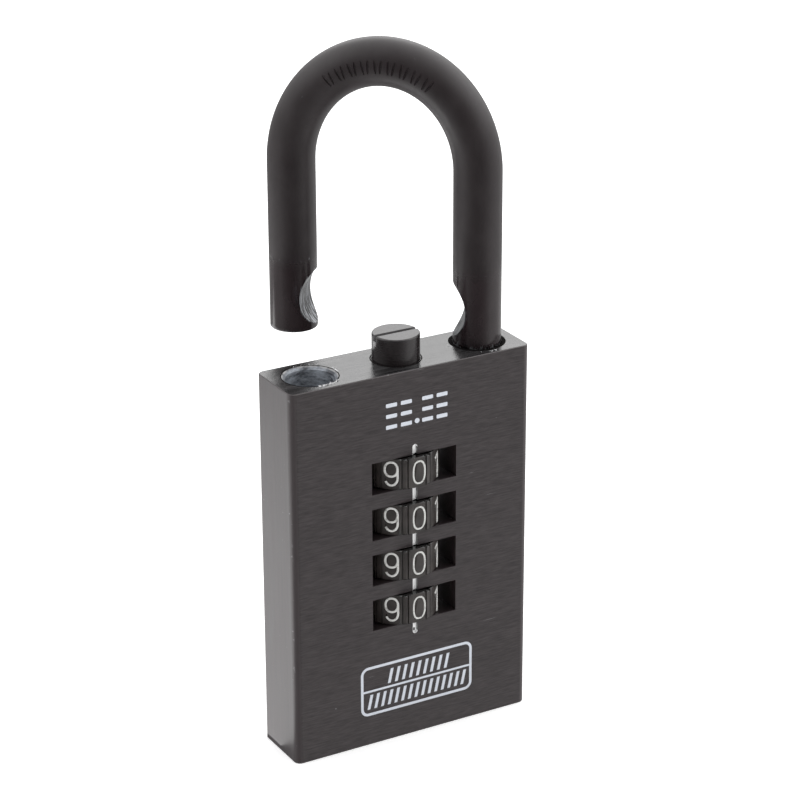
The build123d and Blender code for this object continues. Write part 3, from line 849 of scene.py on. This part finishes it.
def rounded_box(x_low, x_high, z_low, z_high, radius, count=8):
    """Outline of a box with round corners."""
    points = []
    corners = ((x_high - radius, z_high - radius, 0), (x_low + radius, z_high - radius, 90),
               (x_low + radius, z_low + radius, 180), (x_high - radius, z_low + radius, 270))
    for x, z, start in corners:
        points += arc(x, z, radius, radius, start, start + 90, count)
    return points


def leaning_bar(x, z_low, z_high, width, lean):
    """Outline of a bar that leans to the right by a share of its height."""
    shift = (z_high - z_low) * lean / 2
    return [(x - width / 2 - shift, z_low), (x + width / 2 - shift, z_low),
            (x + width / 2 + shift, z_high), (x - width / 2 + shift, z_high)]


def make_emblem(white):
    """Generic mark: a round-cornered frame, split by a line, with a row of leaning bars in each half."""
    x_low, x_high, z_low, z_high = -11.3 * MM, 12.85 * MM, 6.2 * MM, 16.45 * MM
    line, thin_line, corner, split = 0.54 * MM, 0.42 * MM, 1.6 * MM, 11.3 * MM
    loops = [rounded_box(x_low, x_high, z_low, z_high, corner),
             rounded_box(x_low + line, x_high - line, z_low + line, z_high - line, corner - line)]
    meshes = [flat_shape("emblem_frame", loops, FRONT_Y)]
    half_thin = thin_line / 2
    bar = rounded_box(x_low + line, x_high - line, split - half_thin, split + half_thin, thin_line * 0.3, 4)
    meshes.append(flat_shape("emblem_line", [bar], FRONT_Y))
    bar_height, bar_width, lean, margin = 3.0 * MM, 0.62 * MM, 0.22, 0.75 * MM
    rows = ((-4.9 * MM, 7.3 * MM, 9, split + margin), (-9.3 * MM, 11.0 * MM, 15, split - margin - bar_height))
    for start, end, count, low in rows:
        for k in range(count):
            x = start + (end - start) * k / (count - 1)
            outline = leaning_bar(x, low, low + bar_height, bar_width, lean)
            meshes.append(flat_shape("emblem_bar", [outline], FRONT_Y))
    add_object("emblem_print", joined("emblem_print", meshes), white, "lock_body")


def make_upper_marks(white):
    """Generic printed marks above the windows: four stacks of three level bars, with a dot in the middle."""
    low, high, width, thickness = 63.75 * MM, 68.75 * MM, 2.3 * MM, 0.76 * MM
    loops = []
    for left in (-5.6 * MM, -2.5 * MM, 1.95 * MM, 5.0 * MM):
        for share in (0, 0.5, 1):
            z = low + (high - low - thickness) * share
            loops.append(rounded_box(left, left + width, z, z + thickness, 0.15 * MM, 3))
    dot = [(0.9 * MM + x, low + 0.5 * MM + z) for x, z in arc(0, 0, 0.5 * MM, 0.5 * MM, 0, 345, 23)]
    meshes = [flat_shape("upper_mark", [outline], FRONT_Y) for outline in (*loops, dot)]
    add_object("upper_print", joined("upper_print", meshes), white, "lock_body")


def make_index_paint(white, grey):
    """Paint in the index groove, in the stretches between the windows: white but for a thin strip on the right
    wall, coloured grey as painted shade.
    """
    film, gap = 0.07 * MM, 0.02 * MM
    floor_y = FRONT_Y + INDEX_DEPTH - gap - film / 2
    wall_depth = INDEX_DEPTH - 3 * gap
    wall_y = FRONT_Y + INDEX_DEPTH - gap - wall_depth / 2
    edges = [INDEX_Z[0]]
    for height in WHEEL_HEIGHTS:
        edges += [height - WINDOW_HALF, height + WINDOW_HALF]
    edges.append(INDEX_Z[1])
    left, right = INDEX_X - INDEX_HALF, INDEX_X + INDEX_HALF
    whites, painted_shade_walls = [], []
    for k, (low, high) in enumerate(zip(edges[::2], edges[1::2])):
        closed_low, closed_high = k == 0, k == len(WHEEL_HEIGHTS)
        round_end = INDEX_HALF * 0.98 if closed_low or closed_high else 0.02 * MM
        loops = [rounded_box(left, right, low, high, round_end)]
        if closed_low:                       # a bare spot near the lower end
            loops.append(arc(INDEX_X - 0.04 * MM, low + 0.72 * MM, 0.2 * MM, 0.4 * MM, 0, 345, 23))
        whites.append(flat_shape("index_floor", loops, floor_y, film))
        wall_low = low + INDEX_HALF if closed_low else low
        wall_high = high - INDEX_HALF if closed_high else high
        # The strip on the right wall takes the grey paint: painted shade of that wall.
        for x, group in ((left, whites), (right - film, painted_shade_walls)):
            strip = [(x, wall_low), (x + film, wall_low), (x + film, wall_high), (x, wall_high)]
            group.append(flat_shape("index_wall", [strip], wall_y, wall_depth))
        for is_closed, z, start in ((closed_low, wall_low, 180), (closed_high, wall_high, 0)):
            if is_closed:
                outer = arc(INDEX_X, z, INDEX_HALF, INDEX_HALF, start, start + 180)
                inner = arc(INDEX_X, z, INDEX_HALF - film, INDEX_HALF - film, start + 180, start)
                whites.append(flat_shape("index_end", [outer + inner], wall_y, wall_depth))
    add_object("index_paint", joined("index_paint", whites), white, "lock_body")
    add_object("index_right_wall_painted_shade", joined("index_right_wall_painted_shade", painted_shade_walls), grey, "lock_body")


# ---------------------------------------------------------------- burrs at the holes

def burr_ring(name, foot, inner, outer, z, height, seed, material):
    """Low, slightly uneven lip of torn metal round a hole."""
    steps, sides = 220, 8
    middle = (inner + outer) / 2
    rings = []
    for k in range(steps):
        turn = 2 * pi * k / steps
        out = Vector((cos(turn), sin(turn), 0))
        rough = noise.noise(out * 9 + Vector((seed, 0, 0))) * 0.5 + 0.5
        fine = noise.noise(out * 30 + Vector((0, seed, 0))) * 0.5 + 0.5
        size = 0.5 + 0.5 * rough
        half = (outer - inner) / 2 * (0.8 + 0.2 * fine)
        ring = []
        for s in range(sides):
            angle = 2 * pi * s / sides
            lift = max(sin(angle), -0.3) * height * size
            ring.append(foot + out * (middle + half * cos(angle)) + UP * (z + lift))
        rings.append(ring)
    mesh = smooth(skin(name, rings, closed=True), 50)
    add_object(name, mesh, material, "lock_body")


def flakes(name, foot, radius, sectors, seed, material):
    """Small torn flakes on the rim of a hole; sectors are (middle, half width, count), in degrees."""
    draw = random.Random(seed)
    vertices, faces = [], []
    for middle, half_width, count in sectors:
        for _ in range(count):
            turn = radians(middle + draw.uniform(-half_width, half_width))
            out = Vector((cos(turn), sin(turn), 0))
            ahead = UP.cross(out) * draw.choice((-1, 1))
            length = draw.uniform(0.2, 0.65) * MM
            base = foot + out * (radius + draw.uniform(-0.1, 0.15) * MM) + UP * (BODY_TOP - 0.02 * MM)
            tip = base + ahead * length * 0.7 + UP * length * 0.45 + out * draw.uniform(-0.2, 0.2) * MM
            start = len(vertices)
            vertices += [base - ahead * length / 2, base + ahead * length / 2, base + out * length * 0.6, tip]
            corners = ((0, 2, 1), (0, 1, 3), (1, 2, 3), (2, 0, 3))
            faces += [tuple(start + corner for corner in face) for face in corners]
    mesh = mesh_from(name, vertices, faces)
    work = bmesh.new()
    work.from_mesh(mesh)
    bmesh.ops.recalc_face_normals(work, faces=work.faces)
    work.to_mesh(mesh)
    work.free()
    add_object(name, mesh, material, "lock_body")


def make_burrs(black, bright):
    # The near-black rings are painted shade at the mouths of the holes; the heel's and the plug's lie over the
    # gaps round the leg and the plug.
    burr_ring("heel_hole_burr_shade", HEEL, 4.6 * MM, 5.4 * MM, BODY_TOP, 0.05 * MM, 1.0, black)
    burr_ring("plug_hole_burr_shade", PLUG, 4.6 * MM, 4.85 * MM, BODY_TOP, 0.05 * MM, 2.0, black)
    burr_ring("toe_hole_burr_shade", TOE_HOLE, 5.15 * MM, 5.35 * MM, BODY_TOP, 0.06 * MM, 3.0, black)
    flakes("toe_hole_flakes", TOE_HOLE, 5.3 * MM, [(-75, 26, 40), (2, 12, 14), (75, 25, 8)], 4, bright)
    flakes("heel_hole_flakes", HEEL, 5.75 * MM, [(-98, 16, 6), (170, 15, 2)], 5, bright)


# ---------------------------------------------------------------- springs

def make_spring(name, low, high, coil_radius, wire_radius, turns, centre, material):
    """Compression spring, wound between two heights round an upright axis."""
    sides, steps = 12, 48
    rings = []
    span = high - low - 2 * wire_radius
    total = turns * steps
    for k in range(total + 1):
        share = k / total
        turn = 2 * pi * turns * share
        out = Vector((cos(turn), sin(turn), 0))
        point = centre + out * coil_radius + UP * (low + wire_radius + span * share)
        rings.append(ring_points(point, out, UP, wire_radius, sides))
    mesh = smooth(skin(name, rings), 60)
    piece = add_object(name + "_coil", mesh, material, "lock_body", [name])
    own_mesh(piece)


# ---------------------------------------------------------------- everything

def paint_cad(materials):
    """Gives every CAD node that stays in view its material."""
    slot_of = {s["node"]: s["material_slot"] for s in frame["record"]["subparts"]}
    for name, node in nodes.items():
        node.data.materials.clear()
        node.data.materials.append(materials[slot_of[name]])


def main():
    make_camera()
    make_surroundings()
    make_lights()
    make_floor()
    materials = {
        "black_anodised": anodised(),
        "black_steel": black_steel(),
        "black_plug": plug_black(),
        "wheel_black": wheel_black(),
        "plain_steel": machined("plain_steel_turned", (0.5, 0.5, 0.51), 0.3),
        "spring_steel": machined("spring_steel_drawn", (0.38, 0.38, 0.4), 0.35),
        "brass": machined("brass_turned", (0.65, 0.46, 0.2), 0.3),
    }
    paint_cad(materials)
    make_shackle(materials["black_steel"])
    make_wheels(materials["wheel_black"], white_paint("white_filler", worn=0.54))
    # The grey paint on the index groove's right wall is painted shade.
    make_index_paint(white_paint("index_white", (0.9, 0.9, 0.9), (0.4, 0.4, 0.4), 0.62),
                     white_paint("index_wall_painted_shade", (0.2, 0.2, 0.2), (0.06, 0.06, 0.06), 0.45))
    print_white = white_paint("print_white", (0.6, 0.63, 0.69), (0.5, 0.53, 0.58), 0.6)
    make_emblem(print_white)
    make_upper_marks(print_white)
    make_burrs(burr_painted_shade(), bare_flakes())
    spring = materials["spring_steel"]
    make_spring("spindle_spring", 6.05 * MM, 18.25 * MM, 3.2 * MM, 0.4 * MM, 7, PLUG, spring)
    make_spring("shackle_spring", 22.05 * MM, 48.65 * MM, 3.7 * MM, 0.45 * MM, 10,
                HEEL, spring)


main()
